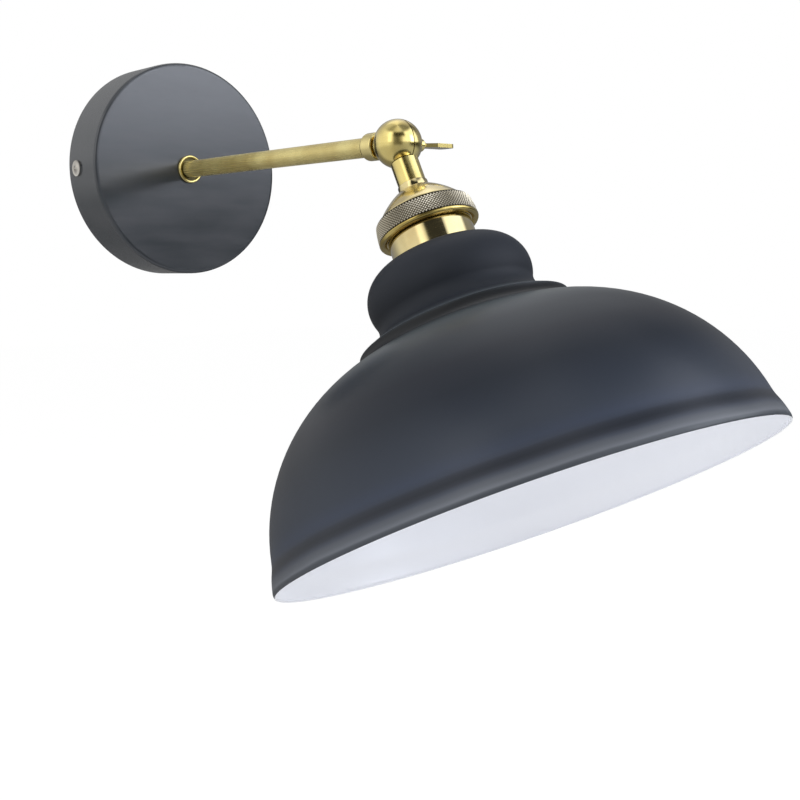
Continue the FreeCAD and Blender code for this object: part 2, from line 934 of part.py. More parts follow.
def lampholder_body():
    neck = size("cap_radius") - size("cap_wall") - size("slip_fit") * 2
    shoulder = size("cap_skirt_end") + size("body_neck_gap")
    seat = size("shade_seat")
    end = size("body_end")
    bore = size("body_bore_radius")
    ledge = bore - size("body_ledge_width")
    chamfer = size("body_end_chamfer")
    on_head("lampholder_body", turned("holder", [
        (ledge, size("body_top")),
        (neck, size("body_top")),
        (neck, shoulder),
        (size("body_radius"), shoulder),
        (size("body_radius"), seat),
        (thread_radius(), seat),
        (thread_radius(), end - chamfer),
        (thread_radius() - chamfer, end),
        (bore, end),
        (bore, size("insert_top")),
        (ledge, size("insert_top")),
    ]))


def contact_screw_places():
    for side in (-1, 1):
        yield size("contact_screw_offset") * side


def shell_start():
    """Height of the ledge in the insert that the screw shell stands on."""
    return size("insert_floor") + size("shell_foot")


def lamp_insert():
    """The ceramic insert that holds the screw shell and the contacts."""
    outside = size("body_bore_radius") - size("slip_fit") * 2
    top = size("insert_top")
    floor = size("insert_floor")
    end = size("insert_end")
    bore = size("shell_outer_radius") + size("thread_fit")
    foot = shell_start()
    rivet = size("rivet_radius") + size("thread_fit")
    solid = turned("insert", [
        (rivet, top),
        (outside, top),
        (outside, end),
        (bore, end),
        (bore, foot),
        (size("shell_foot_radius"), foot),
        (size("shell_foot_radius"), floor),
        (rivet, floor),
    ])
    depth = size("contact_screw_length") + size("slip_fit")
    over = size("cut_overrun")
    holes = [
        cylinder(f"insert_hole_{number}", size("contact_screw_radius") + size("thread_fit"),
                 depth + over, (across, 0, top - over))
        for number, across in enumerate(contact_screw_places(), start=1)
    ]
    on_head("lamp_insert", cut("insert_cut", solid, holes))


def screw_shell():
    start = shell_start()
    end = start + size("shell_length")
    on_head("screw_shell", turned("shell", [
        (size("lamp_bore_radius"), start),
        (size("shell_outer_radius"), start),
        (size("shell_outer_radius"), end),
        (size("lamp_bore_radius"), end),
    ]))


def centre_contact():
    floor = size("insert_floor")
    face = floor + size("contact_thickness")
    rivet = size("rivet_radius")
    on_head("centre_contact", turned("contact", [
        (0, size("insert_top") - size("rivet_stand")),
        (rivet, size("insert_top") - size("rivet_stand")),
        (rivet, floor),
        (size("contact_radius"), floor),
        (size("contact_radius"), face),
        (rivet, face + size("contact_rise")),
        (0, face + size("contact_rise")),
    ]))


def contact_screws():
    """The two terminal screws, heads toward the cap and shanks in the insert."""
    top = size("insert_top")
    head = size("contact_head_height")
    for number, across in enumerate(contact_screw_places(), start=1):
        shank = cylinder(f"contact_shank_{number}", size("contact_screw_radius"),
                         size("contact_screw_length"), (across, 0, top))
        cap = cylinder(f"contact_head_{number}", size("contact_head_radius"), head,
                       (across, 0, top - head))
        slot = box(f"contact_slot_{number}",
                   (size("contact_head_radius") * 2, size("clamp_slot_width"),
                    size("clamp_slot_depth") + size("cut_overrun")),
                   (across - size("contact_head_radius"), -size("clamp_slot_width") / 2,
                    top - head - size("cut_overrun")))
        solid = fuse(f"contact_screw_{number}_solid", [shank, cap])
        on_head(f"contact_screw_{number}", cut(f"contact_screw_{number}_cut", solid, [slot]))


# Shade

def crown_radius():
    """Where the flat round the hole of the shade ends."""
    return thread_radius() + size("shade_hole_gap") + size("crown_flat")


def shade_outline():
    """Outer face of the shade from the hole in its crown to its rim."""
    seat = size("shade_seat")
    crown = crown_radius()
    hole = crown - size("crown_flat")
    bulge = size("bulge_round")
    waist = size("waist_round")
    flare = size("flare_length")
    bulge_end = (crown + bulge * BULGE_END_SHARES[0], seat + bulge * BULGE_END_SHARES[1])
    waist_end = (bulge_end[0] + waist * WAIST_END_SHARES[0], bulge_end[1] + waist * WAIST_END_SHARES[1])
    flare_end = (waist_end[0] + flare * FLARE_SHARES[0], waist_end[1] + flare * FLARE_SHARES[1])
    step_end = (flare_end[0] + size("step_width"), flare_end[1] + size("step_drop"))
    rim = size("shade_rim_radius")
    mouth = seat + size("shade_depth")
    dome_end = (rim - size("band_inset"), mouth - size("band_height"))
    groove_end = (dome_end[0] + size("groove_width"), dome_end[1] + size("groove_height"))
    return [
        (hole, seat),
        (crown, seat),
        bulge_end + (BULGE_BOW_SHARE,),
        waist_end + (-WAIST_BOW_SHARE,),
        flare_end,
        step_end + (STEP_BOW_SHARE,),
        dome_end + (DOME_BOW_SHARE,),
        groove_end + (-GROOVE_BOW_SHARE,),
        (rim, mouth - size("rim_lip_height"), BAND_BOW_SHARE),
        (rim - size("rim_lip_inset"), mouth, LIP_BOW_SHARE),
    ]


def shade():
    sheet_part = spun_sheet("shade_sheet", shade_outline(), size("shade_wall"))
    mouth = size("shade_seat") + size("shade_depth")
    wire = size("rim_bead_radius")
    bead = torus("shade_rim_bead", size("shade_rim_radius") - size("rim_lip_inset") - wire, wire,
                 mouth - wire)
    on_head("shade", fuse("shade_solid", [sheet_part, bead]))


def shade_ring():
    start = size("shade_seat") + size("shade_wall")
    bevel = start + size("shade_ring_bevel")
    flange = bevel + size("shade_ring_flange")
    end = start + size("shade_ring_height")
    hole = thread_radius() + size("thread_fit")
    on_head("shade_ring", turned("retainer", [
        (hole, start),
        (crown_radius(), start),
        (size("shade_ring_radius"), bevel),
        (size("shade_ring_radius"), flange),
        (size("shade_ring_hub_radius"), flange),
        (size("shade_ring_hub_radius"), end),
        (hole, end),
    ]))


def check_objects():
    """Stops the run if any object failed or any sub-part is empty or broken."""
    for thing in doc.Objects:
        if "Invalid" in thing.State or "Error" in thing.State:
            raise SystemExit(f"{thing.Name} failed: {thing.State}")
    for node in nodes:
        shape = node.Shape
        if shape.isNull() or not shape.isValid() or len(shape.Solids) != 1:
            raise SystemExit(f"{node.Label} is not one valid solid")


def write_parts():
    os.makedirs("parts", exist_ok=True)
    for node in nodes:
        node.Shape.exportStep(f"parts/{node.Label}.step")
        print(node.Label, round(node.Shape.Volume, 1))


doc = FreeCAD.newDocument("wall_light")
sheet = fill_sheet()
for build in (
    wall_plate, mounting_bracket, side_screws, terminal_block, terminal_screws, earth_screw,
    plate_bush, bush_washer, bush_nut, arm_tube, arm_collar, knuckle_arm_half, friction_washer,
    knuckle_stem_half, thumbscrew, stem_nipple, neck_bead, lampholder_cap, cap_nut, knurled_ring,
    lampholder_body, lamp_insert, screw_shell, centre_contact, contact_screws, shade, shade_ring,
):
    build()
doc.recompute()
check_objects()
write_parts()
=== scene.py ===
# %% [markdown]
# # A wall light with a domed metal shade
# The light hangs on a wall by a round powder-coated plate. A brass arm stands
# square out of the plate, and a split ball knuckle at its end tilts the
# lampholder. A knurled ring holds the domed cap on the lampholder's body. The
# shade is dark outside and white inside.
#
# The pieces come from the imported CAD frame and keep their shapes. This script
# gives each of them a finish. It models again the few whose form or finish
# needs more than the plain solid has: the two-coloured shade, the collar at the
# foot of the stem, the knurled ring and the rolled threads. Loading leaves the
# solids selected, so everything is deselected first.

# %% Load the frame
import json
import math

import bmesh
import bpy
from mathutils import Euler, Matrix, Vector


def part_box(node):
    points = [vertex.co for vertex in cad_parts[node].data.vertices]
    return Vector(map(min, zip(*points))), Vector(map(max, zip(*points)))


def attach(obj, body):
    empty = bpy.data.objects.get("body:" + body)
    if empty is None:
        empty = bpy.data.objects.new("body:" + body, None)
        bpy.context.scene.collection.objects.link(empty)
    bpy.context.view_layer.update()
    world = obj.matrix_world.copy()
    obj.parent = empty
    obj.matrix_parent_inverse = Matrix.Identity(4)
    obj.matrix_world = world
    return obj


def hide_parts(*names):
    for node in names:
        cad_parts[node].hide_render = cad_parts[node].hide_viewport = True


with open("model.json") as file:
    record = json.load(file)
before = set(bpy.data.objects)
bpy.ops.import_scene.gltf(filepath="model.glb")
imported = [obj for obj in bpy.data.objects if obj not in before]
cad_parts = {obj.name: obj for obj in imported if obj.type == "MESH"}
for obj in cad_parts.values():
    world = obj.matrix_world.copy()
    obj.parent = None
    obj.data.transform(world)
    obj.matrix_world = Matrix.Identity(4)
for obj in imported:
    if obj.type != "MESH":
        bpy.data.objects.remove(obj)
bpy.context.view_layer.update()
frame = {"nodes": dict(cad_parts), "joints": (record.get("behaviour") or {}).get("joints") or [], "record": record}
bpy.ops.object.select_all(action="DESELECT")
MM = 0.001
print("pieces in the frame:", len(frame["nodes"]))

# %% [markdown]
# ## Where the head of the light sits
# The lampholder and the shade are turned pieces on one axis. It starts at the
# centre of the knuckle's ball and leaves through the mouth of the shade. The
# frame knows both: the tilt joint stands at the ball's centre, and the lamp
# socket's axis is the axis of the shade. New pieces are drawn upright, with Z
# as the distance from the ball, and then set on that axis.

# %% Read the ball's centre and the axis of the shade
tilt_joint = next(joint for joint in frame["joints"] if joint["name"] == "knuckle_tilt")
socket = next(mount for mount in frame["record"]["mounts"] if mount["name"] == "lamp_socket")
BALL = Vector(tilt_joint["pos_m"])
SHADE_AXIS = Vector(socket["axis"])
HEAD_TURN = math.atan2(-SHADE_AXIS.y, SHADE_AXIS.z)
print("shade tilts outward by", round(180 - math.degrees(HEAD_TURN), 2), "degrees")

# %% [markdown]
# ## Camera
# The camera stands to the left of the light and a little above its middle. It
# turns to the right, looks slightly down and is rolled by about a degree, as
# for the picture. The lens is a little longer than a normal one. The camera
# stands so near that the far side of the shade looks clearly smaller than the
# near side.

# %% Make the camera
CAMERA_PLACE = (-0.3822, -0.6362, -0.0510)
CAMERA_PAN = 41.81
CAMERA_DIP = 6.95
CAMERA_ROLL = 1.16
LENS = 54

bpy.ops.object.camera_add(location=CAMERA_PLACE)
camera = bpy.context.object
pan = Matrix.Rotation(math.radians(-CAMERA_PAN), 3, "Z")
dip = Matrix.Rotation(math.radians(90 - CAMERA_DIP), 3, "X")
roll = Matrix.Rotation(math.radians(-CAMERA_ROLL), 3, "Z")
camera.rotation_euler = (pan @ dip @ roll).to_euler()
camera.data.lens = LENS
bpy.context.scene.camera = camera
print("camera to knuckle:", round((camera.location - BALL).length / MM), "mm")

# %% [markdown]
# ## Node trees in one small function
# A material here is a handful of nodes. One helper adds a node, sets what is
# given by name, and links an input when the value is another node's output.
# Colours are written as sRGB hex, as in a paint program, and turned to the
# linear values that the shader works in.

# %% Helpers for nodes and colours
def add_node(tree, kind, inputs=None, **settings):
    """A new node with its inputs set or linked, and its other settings given by name."""
    node = tree.nodes.new(kind)
    for name, value in settings.items():
        setattr(node, name, value)
    for name, value in (inputs or {}).items():
        if isinstance(value, bpy.types.NodeSocket):
            tree.links.new(value, node.inputs[name])
        else:
            node.inputs[name].default_value = value
    return node


def linear(hex_colour):
    """The linear colour of an sRGB hex value."""
    channels = []
    for start in (0, 2, 4):
        part = int(hex_colour[start:start + 2], 16) / 255
        channels.append(part / 12.92 if part <= 0.04045 else ((part + 0.055) / 1.055) ** 2.4)
    return (*channels, 1)


def grey(level):
    return (level, level, level, 1)


def set_stops(ramp_node, stops):
    """Gives a colour ramp its stops, each a place from 0 to 1 and a linear colour."""
    ramp = ramp_node.color_ramp
    while len(ramp.elements) > 1:
        ramp.elements.remove(ramp.elements[-1])
    ramp.elements[0].position = stops[0][0]
    ramp.elements[0].color = stops[0][1]
    for place, colour in stops[1:]:
        ramp.elements.new(place).color = colour


def new_material(name):
    """An empty material and its node tree."""
    material = bpy.data.materials.new(name)
    material.use_nodes = True
    material.node_tree.nodes.clear()
    return material, material.node_tree


def finish_material(tree, shader):
    add_node(tree, "ShaderNodeOutputMaterial", {"Surface": shader.outputs["BSDF"]})

# %% [markdown]
# ## Studio
# The light is photographed in a white studio. Polished brass only looks like
# brass when it has something dark to reflect, so its reflections see panels
# round the light: white ones, the dark room behind the camera, and a soft box
# of cool daylight on the right. A panel is a stretch of a radial gradient. It
# is given as a brightness and the degrees round the light, from the camera to
# the right. There are five rings of panels, and each takes over from the one
# below it between two heights that the reflection looks at, where 0 is the
# horizon and 1 is straight up. How bright each panel is was found by comparing
# the bands of light on the brass with the picture.

# %% Panels that the metal reflects
BRIGHTEST = 5
DAYLIGHT = (0.95, 1.0, 1.12)
DAYLIGHT_SIDE = range(20, 150)
BELOW = (
    (-180, 0.20), (-125, 0.25), (-100, 0.60), (-45, 0.62), (-20, 0.50), (20, 0.50), (60, 0.60),
    (100, 0.50), (140, 0.25), (180, 0.20),
)
HORIZON = (
    (-180, 0.20), (-150, 0.30), (-125, 0.50), (-100, 0.88), (-45, 0.95), (-28, 0.70), (-15, 0.20),
    (15, 0.15), (28, 0.60), (50, 0.60), (66, 0.05), (112, 0.05), (140, 0.20), (180, 0.20),
)
EYE_LEVEL = (
    (-180, 0.30), (-160, 0.35), (-140, 0.62), (-122, 0.75), (-100, 1.00), (-50, 1.10), (-43, 1.90),
    (-34, 1.70), (-27, 1.00), (-17, 0.28), (-4, 0.14), (6, 0.18), (16, 0.50), (28, 1.60),
    (48, 2.00), (56, 1.60), (63, 2.40), (68, 5.00), (80, 5.00), (86, 2.20), (106, 1.80),
    (114, 0.40), (150, 0.25), (180, 0.35),
)
HIGH = (
    (-180, 0.85), (-147, 0.50), (-116, 0.75), (-60, 1.20), (-50, 1.60), (-42, 1.90), (-34, 1.50),
    (-29, 1.10), (-23, 0.04), (34, 0.04), (38, 0.90), (46, 1.90), (104, 1.90), (115, 0.30),
    (136, 0.10), (160, 0.70), (180, 0.85),
)
OVERHEAD = (
    (-180, 1.30), (-150, 1.20), (-130, 0.70), (-106, 0.70), (-60, 0.35), (-36, 0.45), (-23, 0.70),
    (8, 1.00), (23, 1.00), (46, 0.35), (104, 0.30), (150, 0.80), (180, 1.30),
)
RINGS_ABOVE = (
    (-0.25, -0.05, HORIZON),
    (0.07, 0.13, EYE_LEVEL),
    (0.42, 0.58, HIGH),
    (0.72, 0.82, OVERHEAD),
)


def panels(tree, angle, stops):
    """One ring of panels as a colour ramp, whose middle is the direction of the camera."""
    ring = add_node(tree, "ShaderNodeValToRGB", {"Fac": angle})
    colours = []
    for degrees, level in stops:
        tint = DAYLIGHT if degrees in DAYLIGHT_SIDE else (1, 1, 1)
        colour = [part * level / BRIGHTEST for part in tint]
        colours.append((0.5 + degrees / 360, (*colour, 1)))
    set_stops(ring, colours)
    return ring.outputs["Color"]

# %% [markdown]
# The world's nodes stack the rings. Then they ask who is looking: a reflection
# sees the rings, the camera sees plain white, and all other light from the
# world is soft and a little dimmer.

# %% World
SOFT_LIGHT = 0.68

world = bpy.data.worlds.new("white_studio")
world.use_nodes = True
bpy.context.scene.world = world
tree = world.node_tree
tree.nodes.clear()
where = add_node(tree, "ShaderNodeTexCoord")
facing_camera = add_node(tree, "ShaderNodeMapping", {
    "Vector": where.outputs["Generated"],
    "Rotation": (0, 0, math.radians(90 + CAMERA_PAN)),
})
around = add_node(tree, "ShaderNodeTexGradient", {"Vector": facing_camera.outputs["Vector"]},
                  gradient_type="RADIAL")
height = add_node(tree, "ShaderNodeSeparateXYZ", {"Vector": where.outputs["Generated"]})
studio = panels(tree, around.outputs["Fac"], BELOW)
for low, high, stops in RINGS_ABOVE:
    share = add_node(tree, "ShaderNodeMapRange", {
        "Value": height.outputs["Z"],
        "From Min": low,
        "From Max": high,
    })
    mixed = add_node(tree, "ShaderNodeMixRGB", {
        "Fac": share.outputs["Result"],
        "Color1": studio,
        "Color2": panels(tree, around.outputs["Fac"], stops),
    })
    studio = mixed.outputs["Color"]
reflected = add_node(tree, "ShaderNodeBackground", {"Color": studio, "Strength": BRIGHTEST})
white = add_node(tree, "ShaderNodeBackground", {"Color": grey(1), "Strength": 1})
soft = add_node(tree, "ShaderNodeBackground", {"Color": grey(1), "Strength": SOFT_LIGHT})
ray = add_node(tree, "ShaderNodeLightPath")
for_gloss = add_node(tree, "ShaderNodeMixShader", {
    0: ray.outputs["Is Glossy Ray"],
    1: soft.outputs[0],
    2: reflected.outputs[0],
})
for_camera = add_node(tree, "ShaderNodeMixShader", {
    0: ray.outputs["Is Camera Ray"],
    1: for_gloss.outputs[0],
    2: white.outputs[0],
})
add_node(tree, "ShaderNodeOutputWorld", {"Surface": for_camera.outputs[0]})
bpy.context.scene.view_settings.view_transform = "Standard"
print("rings of panels:", 1 + len(RINGS_ABOVE))

# %% [markdown]
# A large soft box above and to the left of the camera models the round forms,
# a smaller one on the right lifts their far side, and a third one hangs over
# the light. Reflections see the panels in their place. All three look at a
# point in the neck of the shade.

# %% Soft boxes
AIM_DEPTH = 60 * MM
SOFT_BOXES = (
    ("left_soft_box", (-1.1, -1.0, 1.2), 1.4, 14),
    ("right_soft_box", (1.3, -1.1, 0.5), 1.0, 9),
    ("top_soft_box", (0.1, -0.1, 1.5), 1.2, 9),
)

aim = BALL + SHADE_AXIS * AIM_DEPTH
for name, place, width, power in SOFT_BOXES:
    bpy.ops.object.light_add(type="AREA", location=place)
    lamp = bpy.context.object
    lamp.name = name
    lamp.data.size = width
    lamp.data.energy = power
    lamp.rotation_euler = (aim - Vector(place)).to_track_quat("-Z", "Y").to_euler()
    lamp.visible_glossy = False
    print(name, "is", round((aim - Vector(place)).length, 2), "m away")

# %% [markdown]
# The floor is a pale sheet well below the light, as a wall light has nothing to
# stand on. It mostly glows by itself for the camera, so it is as white as the
# background, and it throws pale light up at the shade. From below it is clear,
# so that it doesn't hide the inside of the shade.

# %% Floor
FLOOR_HEIGHT = -0.62
FLOOR_SIZE = 14
PAPER_COLOUR = "f7f7f7"
OWN_GLOW = 0.85
GLOW_STRENGTH = 1.06

bpy.ops.mesh.primitive_plane_add(size=FLOOR_SIZE, location=(0, 0, FLOOR_HEIGHT))
floor = bpy.context.object
floor.name = "floor"
floor.visible_glossy = False
paper, tree = new_material("white_paper")
sheet = add_node(tree, "ShaderNodeBsdfDiffuse", {"Color": linear(PAPER_COLOUR)})
glow = add_node(tree, "ShaderNodeEmission", {"Color": grey(1), "Strength": GLOW_STRENGTH})
ray = add_node(tree, "ShaderNodeLightPath")
share = add_node(tree, "ShaderNodeMath", {0: ray.outputs["Is Camera Ray"], 1: OWN_GLOW},
                 operation="MULTIPLY")
mix = add_node(tree, "ShaderNodeMixShader", {
    0: share.outputs[0],
    1: sheet.outputs[0],
    2: glow.outputs[0],
})
side = add_node(tree, "ShaderNodeNewGeometry")
clear = add_node(tree, "ShaderNodeBsdfTransparent")
from_above = add_node(tree, "ShaderNodeMixShader", {
    0: side.outputs["Backfacing"],
    1: mix.outputs[0],
    2: clear.outputs[0],
})
add_node(tree, "ShaderNodeOutputMaterial", {"Surface": from_above.outputs[0]})
floor.data.materials.append(paper)

# %% [markdown]
# ## Powder coat
# The plate and the outside of the shade are steel with a baked powder coat.
# Powder melts into a satin film with a fine pebbled skin, so the highlight is
# broad and breaks into tiny specks. The pebbles of the real coat are about
# 0.3 mm. They are drawn at 0.7 mm here, because finer ones vanish between two
# pixels of the picture. A slow drift of the tone and the gloss keeps the large
# faces from looking printed.
#
# The coat of the shade needs a helper first. Its tone follows the height along
# the axis, and its neck is more matt than the dome, because it shows no
# highlight in the picture. A Mapping node turns the coordinates upright and
# counts them from the ball.

# %% Tone along the axis of the shade
TONE_SPAN = 200 * MM
TONE_DRIFT = 0.01
NECK_HAZE = 0.24
HAZE_FROM = 90 * MM
HAZE_TO = 104 * MM


def follow_axis(tree, where, tone, gloss):
    """The tone and the gloss of a coat, changed to follow the height on the shade's axis."""
    upright = add_node(tree, "ShaderNodeMapping", {
        "Vector": where.outputs["Object"],
        "Location": BALL,
        "Rotation": (HEAD_TURN, 0, 0),
        "Scale": (TONE_SPAN, TONE_SPAN, TONE_SPAN),
    }, vector_type="TEXTURE")
    height = add_node(tree, "ShaderNodeSeparateXYZ", {"Vector": upright.outputs["Vector"]})
    drifting = add_node(tree, "ShaderNodeMath", {
        0: tone,
        1: TONE_DRIFT,
        2: height.outputs["Z"],
    }, operation="MULTIPLY_ADD")
    haze = add_node(tree, "ShaderNodeMapRange", {
        "Value": height.outputs["Z"],
        "From Min": HAZE_FROM / TONE_SPAN,
        "From Max": HAZE_TO / TONE_SPAN,
        "To Min": NECK_HAZE,
        "To Max": 0,
    })
    duller = add_node(tree, "ShaderNodeMath", {0: gloss, 1: haze.outputs["Result"]})
    return drifting.outputs[0], duller.outputs[0]

# %% [markdown]
# In the coat itself a fine noise raises the pebbles, through a Bump node. A slow
# noise, which can be drawn out along an axis, drives the tone and the gloss.

# %% Powder coat
PEBBLE = 0.7 * MM
PEBBLE_DEPTH = 0.07 * MM
NOISE_LOW = 0.3
NOISE_HIGH = 0.7
COAT_DRIFT = 0.03


def powder_coat(name, tones, roughness, ior, drift, along_axis=False):
    """A powder coat. The drift gives the size of its clouds along X, Y and Z."""
    material, tree = new_material(name)
    where = add_node(tree, "ShaderNodeTexCoord")
    pebbles = add_node(tree, "ShaderNodeTexNoise", {
        "Vector": where.outputs["Object"],
        "Scale": 1 / PEBBLE,
        "Detail": 3,
        "Roughness": 0.6,
    })
    drawn_out = add_node(tree, "ShaderNodeMapping", {
        "Vector": where.outputs["Object"],
        "Scale": drift,
    }, vector_type="TEXTURE")
    clouds = add_node(tree, "ShaderNodeTexNoise", {
        "Vector": drawn_out.outputs["Vector"],
        "Scale": 1,
        "Detail": 3,
    })
    tone = clouds.outputs["Fac"]
    gloss = add_node(tree, "ShaderNodeMapRange", {
        "Value": tone,
        "From Min": NOISE_LOW,
        "From Max": NOISE_HIGH,
        "To Min": roughness - COAT_DRIFT,
        "To Max": roughness + COAT_DRIFT,
    }).outputs["Result"]
    if along_axis:
        tone, gloss = follow_axis(tree, where, tone, gloss)
    tint = add_node(tree, "ShaderNodeValToRGB", {"Fac": tone})
    set_stops(tint, [(place, linear(colour)) for place, colour in tones])
    skin = add_node(tree, "ShaderNodeBump", {
        "Height": pebbles.outputs["Fac"],
        "Strength": 0.5,
        "Distance": PEBBLE_DEPTH,
    })
    shader = add_node(tree, "ShaderNodeBsdfPrincipled", {
        "Base Color": tint.outputs["Color"],
        "Roughness": gloss,
        "Normal": skin.outputs["Normal"],
        "IOR": ior,
    })
    finish_material(tree, shader)
    return material

# %% [markdown]
# The plate's coat drifts between two close greys. The drift is drawn out
# sideways, as if the coat had been wiped.
#
# The tones of the shade are given with their distance from the ball in
# millimetres. Over the coat's own dark slate they paint light and shade: a
# painted highlight on the crisp edge over the shoulder, painted shade in the
# hollow under it, a painted highlight on the shoulder, painted shade in the
# middle of the dome and in the groove, and the brightest painted highlight on
# the rolled band. The tones were matched to the light of the picture.

# %% Coats of the plate and the shade
WIPED = (45 * MM, 45 * MM, 9 * MM)
EVEN_DRIFT = (60 * MM, 60 * MM, 60 * MM)
PLATE_TONES = ((0.30, "2d3135"), (0.75, "37393d"))
# Painted light and shade along the shade's axis, over its own dark slate.
NECK_TONES = ((59, "1b1f27"), (90, "1a1e25"), (93, "1e2228"))
EDGE_PAINTED_HIGHLIGHT = ((94.8, "343a40"), (95.4, "343a40"))
HOLLOW_PAINTED_SHADE = ((96, "0e1013"), (99.4, "101215"))
SHOULDER_PAINTED_HIGHLIGHT = (
    (102, "282c31"), (105, "3e4448"), (107.2, "43494d"), (109, "41464a"), (113, "31363c"),
    (117, "23282f"),
)
DOME_TONES = (
    (123, "1c2129"), (131, "181c25"), (143, "1c212a"), (164.2, "2d333e"), (169.6, "313847"),
    (171.6, "2f3542"),
)
GROOVE_PAINTED_SHADE = ((172.8, "252932"), (175, "1e222a"), (176.4, "272b34"))
BAND_PAINTED_HIGHLIGHT = ((177.8, "393e49"), (179, "4b4f57"), (180.4, "53575e"), (181.8, "62666e"), (182.8, "42464c"))

tones_by_height = (
    *NECK_TONES, *EDGE_PAINTED_HIGHLIGHT, *HOLLOW_PAINTED_SHADE, *SHOULDER_PAINTED_HIGHLIGHT, *DOME_TONES, *GROOVE_PAINTED_SHADE, *BAND_PAINTED_HIGHLIGHT,
)
shade_tones_with_painted_light = [
    (height * MM / TONE_SPAN + TONE_DRIFT / 2, colour)
    for height, colour in tones_by_height
]
plate_coat = powder_coat("charcoal_powder_coat", PLATE_TONES, roughness=0.19, ior=1.60, drift=WIPED)
shade_coat = powder_coat("slate_powder_coat", shade_tones_with_painted_light, roughness=0.32, ior=1.35, drift=EVEN_DRIFT,
                         along_axis=True)
print("tones along the shade:", len(shade_tones_with_painted_light))

# %% [markdown]
# ## Enamel, ceramic, nylon and fibre
# The inside of the shade is sprayed with a smooth white enamel, a little cold
# in tone, that throws the lamp's light down. The same function makes three
# smooth materials of the inner pieces: the glazed ceramic insert of the
# lampholder, glossy and warm white, the moulded nylon terminal block, duller,
# and the pressed fibre washer in the knuckle, brown and matt. Each is given its
# colour, its roughness and its index of refraction.

# %% Smooth materials
FLOW_SIZE = 9 * MM
FLOW_DEPTH = 0.1 * MM


def smooth_coat(name, colour, roughness, ior):
    """A smooth coat or moulding with the slow waves of a surface that has flowed."""
    material, tree = new_material(name)
    where = add_node(tree, "ShaderNodeTexCoord")
    flow = add_node(tree, "ShaderNodeTexNoise", {
        "Vector": where.outputs["Object"],
        "Scale": 1 / FLOW_SIZE,
        "Detail": 2,
    })
    skin = add_node(tree, "ShaderNodeBump", {
        "Height": flow.outputs["Fac"],
        "Strength": 0.15,
        "Distance": FLOW_DEPTH,
    })
    shader = add_node(tree, "ShaderNodeBsdfPrincipled", {
        "Base Color": linear(colour),
        "Roughness": roughness,
        "Normal": skin.outputs["Normal"],
        "IOR": ior,
    })
    finish_material(tree, shader)
    return material


white_enamel = smooth_coat("white_enamel", "f3f5fb", 0.32, 1.5)
glazed_ceramic = smooth_coat("glazed_ceramic", "ece8de", 0.12, 1.52)
moulded_nylon = smooth_coat("moulded_nylon", "e6e5df", 0.45, 1.53)
pressed_fibre = smooth_coat("pressed_fibre", "4a3a30", 0.70, 1.5)

# %% [markdown]
# ## Brass
# One function makes all the plain metals. A noise that is stretched along the
# lines of the finish drives a fine bump and the roughness, and a broad noise
# mixes a browner stain into the metal's colour. The stretch is given as three
# lengths. For the turned pieces of the head the noise is first turned with the
# head, so that its third length runs along their axis. A lacquer is a clear
# coat. Its index is higher than that of a real lacquer, so that it mirrors the
# studio as strongly as in the picture.

# %% Metal helper
STAIN_SIZE = 14 * MM
STAIN_FROM = 0.38
STAIN_FULL = 0.72
HAIR_DRIFT = 0.05
HAIR_DEPTH = 0.010 * MM
LACQUER_IOR = 1.8


def metal(name, colour, stain, roughness, lines, on_head=False, depth=HAIR_DEPTH, metallic=1, lacquer=0):
    """A metal whose hair lines have a size along X, Y and Z and a depth."""
    material, tree = new_material(name)
    where = add_node(tree, "ShaderNodeTexCoord")
    lay = add_node(tree, "ShaderNodeMapping", {
        "Vector": where.outputs["Object"],
        "Location": BALL if on_head else (0, 0, 0),
        "Rotation": (HEAD_TURN if on_head else 0, 0, 0),
        "Scale": lines,
    }, vector_type="TEXTURE")
    hairs = add_node(tree, "ShaderNodeTexNoise", {
        "Vector": lay.outputs["Vector"],
        "Scale": 1,
        "Detail": 4,
        "Roughness": 0.65,
    })
    clouds = add_node(tree, "ShaderNodeTexNoise", {
        "Vector": where.outputs["Object"],
        "Scale": 1 / STAIN_SIZE,
        "Detail": 3,
    })
    tint = add_node(tree, "ShaderNodeValToRGB", {"Fac": clouds.outputs["Fac"]})
    set_stops(tint, [(STAIN_FROM, linear(colour)), (STAIN_FULL, linear(stain))])
    gloss = add_node(tree, "ShaderNodeMapRange", {
        "Value": hairs.outputs["Fac"],
        "From Min": NOISE_LOW,
        "From Max": NOISE_HIGH,
        "To Min": roughness - HAIR_DRIFT,
        "To Max": roughness + HAIR_DRIFT,
    })
    hair_lines = add_node(tree, "ShaderNodeBump", {
        "Height": hairs.outputs["Fac"],
        "Strength": 0.4,
        "Distance": depth,
    })
    shader = add_node(tree, "ShaderNodeBsdfPrincipled", {
        "Base Color": tint.outputs["Color"],
        "Metallic": metallic,
        "Roughness": gloss.outputs["Result"],
        "Normal": hair_lines.outputs["Normal"],
        "Coat Weight": lacquer,
        "Coat Roughness": 0.06,
        "Coat IOR": LACQUER_IOR,
    })
    finish_material(tree, shader)
    return material

# %% [markdown]
# The knuckle, the cap and the lampholder's body are polished brass, stained a
# little in an antique bath and lacquered. Turning leaves hair lines round the
# piece, which draw the highlights out. The ball is tumbled, so its grain has no
# direction, and the cap is polished less than the body. The arm and its collar
# are brushed along their length and duller. The arm's finish is hazy and
# scatters part of the light, so it is less metallic. The lip of the knurled
# ring and the ring inside the shade are a darker brass without lacquer.
#
# The screws inside are plain turned brass. The nickel plate of the side screws
# is bright and nearly neutral. The zinc plate of the bracket and the nuts is
# greyer and cloudy.

# %% Brass, nickel and zinc
TURNED = (6 * MM, 6 * MM, 0.35 * MM)
BRUSHED = (0.6 * MM, 40 * MM, 0.6 * MM)
ROLLED = (5 * MM, 0.6 * MM, 5 * MM)
TUMBLED = (1.2 * MM, 1.2 * MM, 1.2 * MM)
FINE_HAIRS = 0.006 * MM
FINEST_HAIRS = 0.003 * MM
ROLLED_HAIRS = 0.02 * MM

